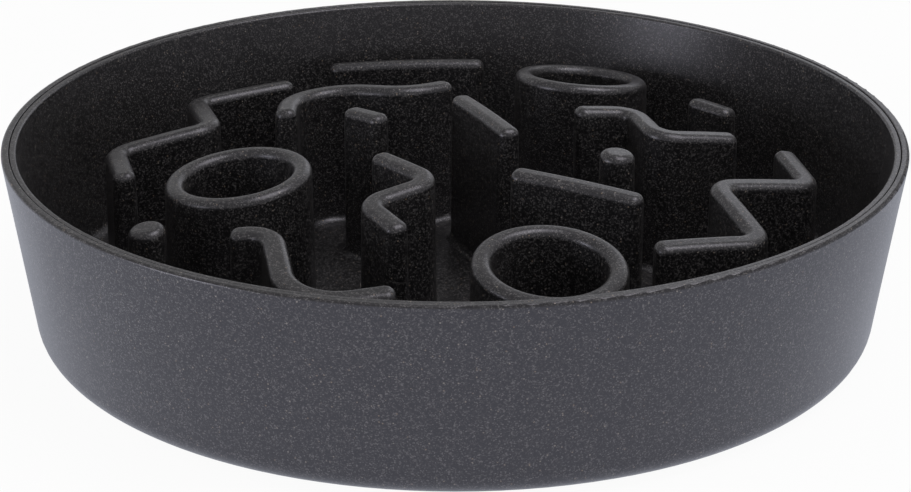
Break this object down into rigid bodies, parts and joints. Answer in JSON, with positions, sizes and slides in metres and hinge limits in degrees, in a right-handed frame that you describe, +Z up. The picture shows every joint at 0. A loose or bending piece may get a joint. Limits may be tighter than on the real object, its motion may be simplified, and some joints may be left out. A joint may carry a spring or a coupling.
{
  "type": "slow feeder bowl",
  "caption": "Round slow feeder bowl: tapered shell on rubber feet with a lift-out tray whose floor carries a maze of ring towers, posts and straight, stepped and wavy walls.",
  "frame": {"origin": "centre of the bowl's footprint at the bottom of its feet", "axes": "+Z up along the bowl's axis, front towards -Y, +X to the right seen from the front"},
  "size_m": [0.25, 0.25, 0.0557],
  "materials": {
    "speckled_composite": "matte dark grey moulded composite with fine cream and tan specks",
    "foot_rubber": "matte black rubber"
  },
  "bodies": {
    "shell": {"outer_shell": "speckled_composite", "foot_1": "foot_rubber", "foot_2": "foot_rubber", "foot_3": "foot_rubber", "foot_4": "foot_rubber"},
    "tray": {"maze_tray": "speckled_composite", "ring_tower_left": "speckled_composite", "ring_tower_back": "speckled_composite", "ring_tower_front": "speckled_composite", "post_left": "speckled_composite", "post_right": "speckled_composite", "back_slab": "speckled_composite", "short_slab_centre": "speckled_composite", "short_slab_right": "speckled_composite", "long_slab_centre": "speckled_composite", "long_slab_front": "speckled_composite", "stair_wall_left": "speckled_composite", "stair_wall_right": "speckled_composite", "step_wall_right": "speckled_composite", "zigzag_wall_centre": "speckled_composite", "wave_wall_back": "speckled_composite", "wave_wall_front": "speckled_composite"}
  },
  "joints": [
    {"name": "tray_lift", "type": "slide", "parent": "shell", "child": "tray", "axis": [0, 0, 1], "range_m": [0, 0.08]}
  ]
}
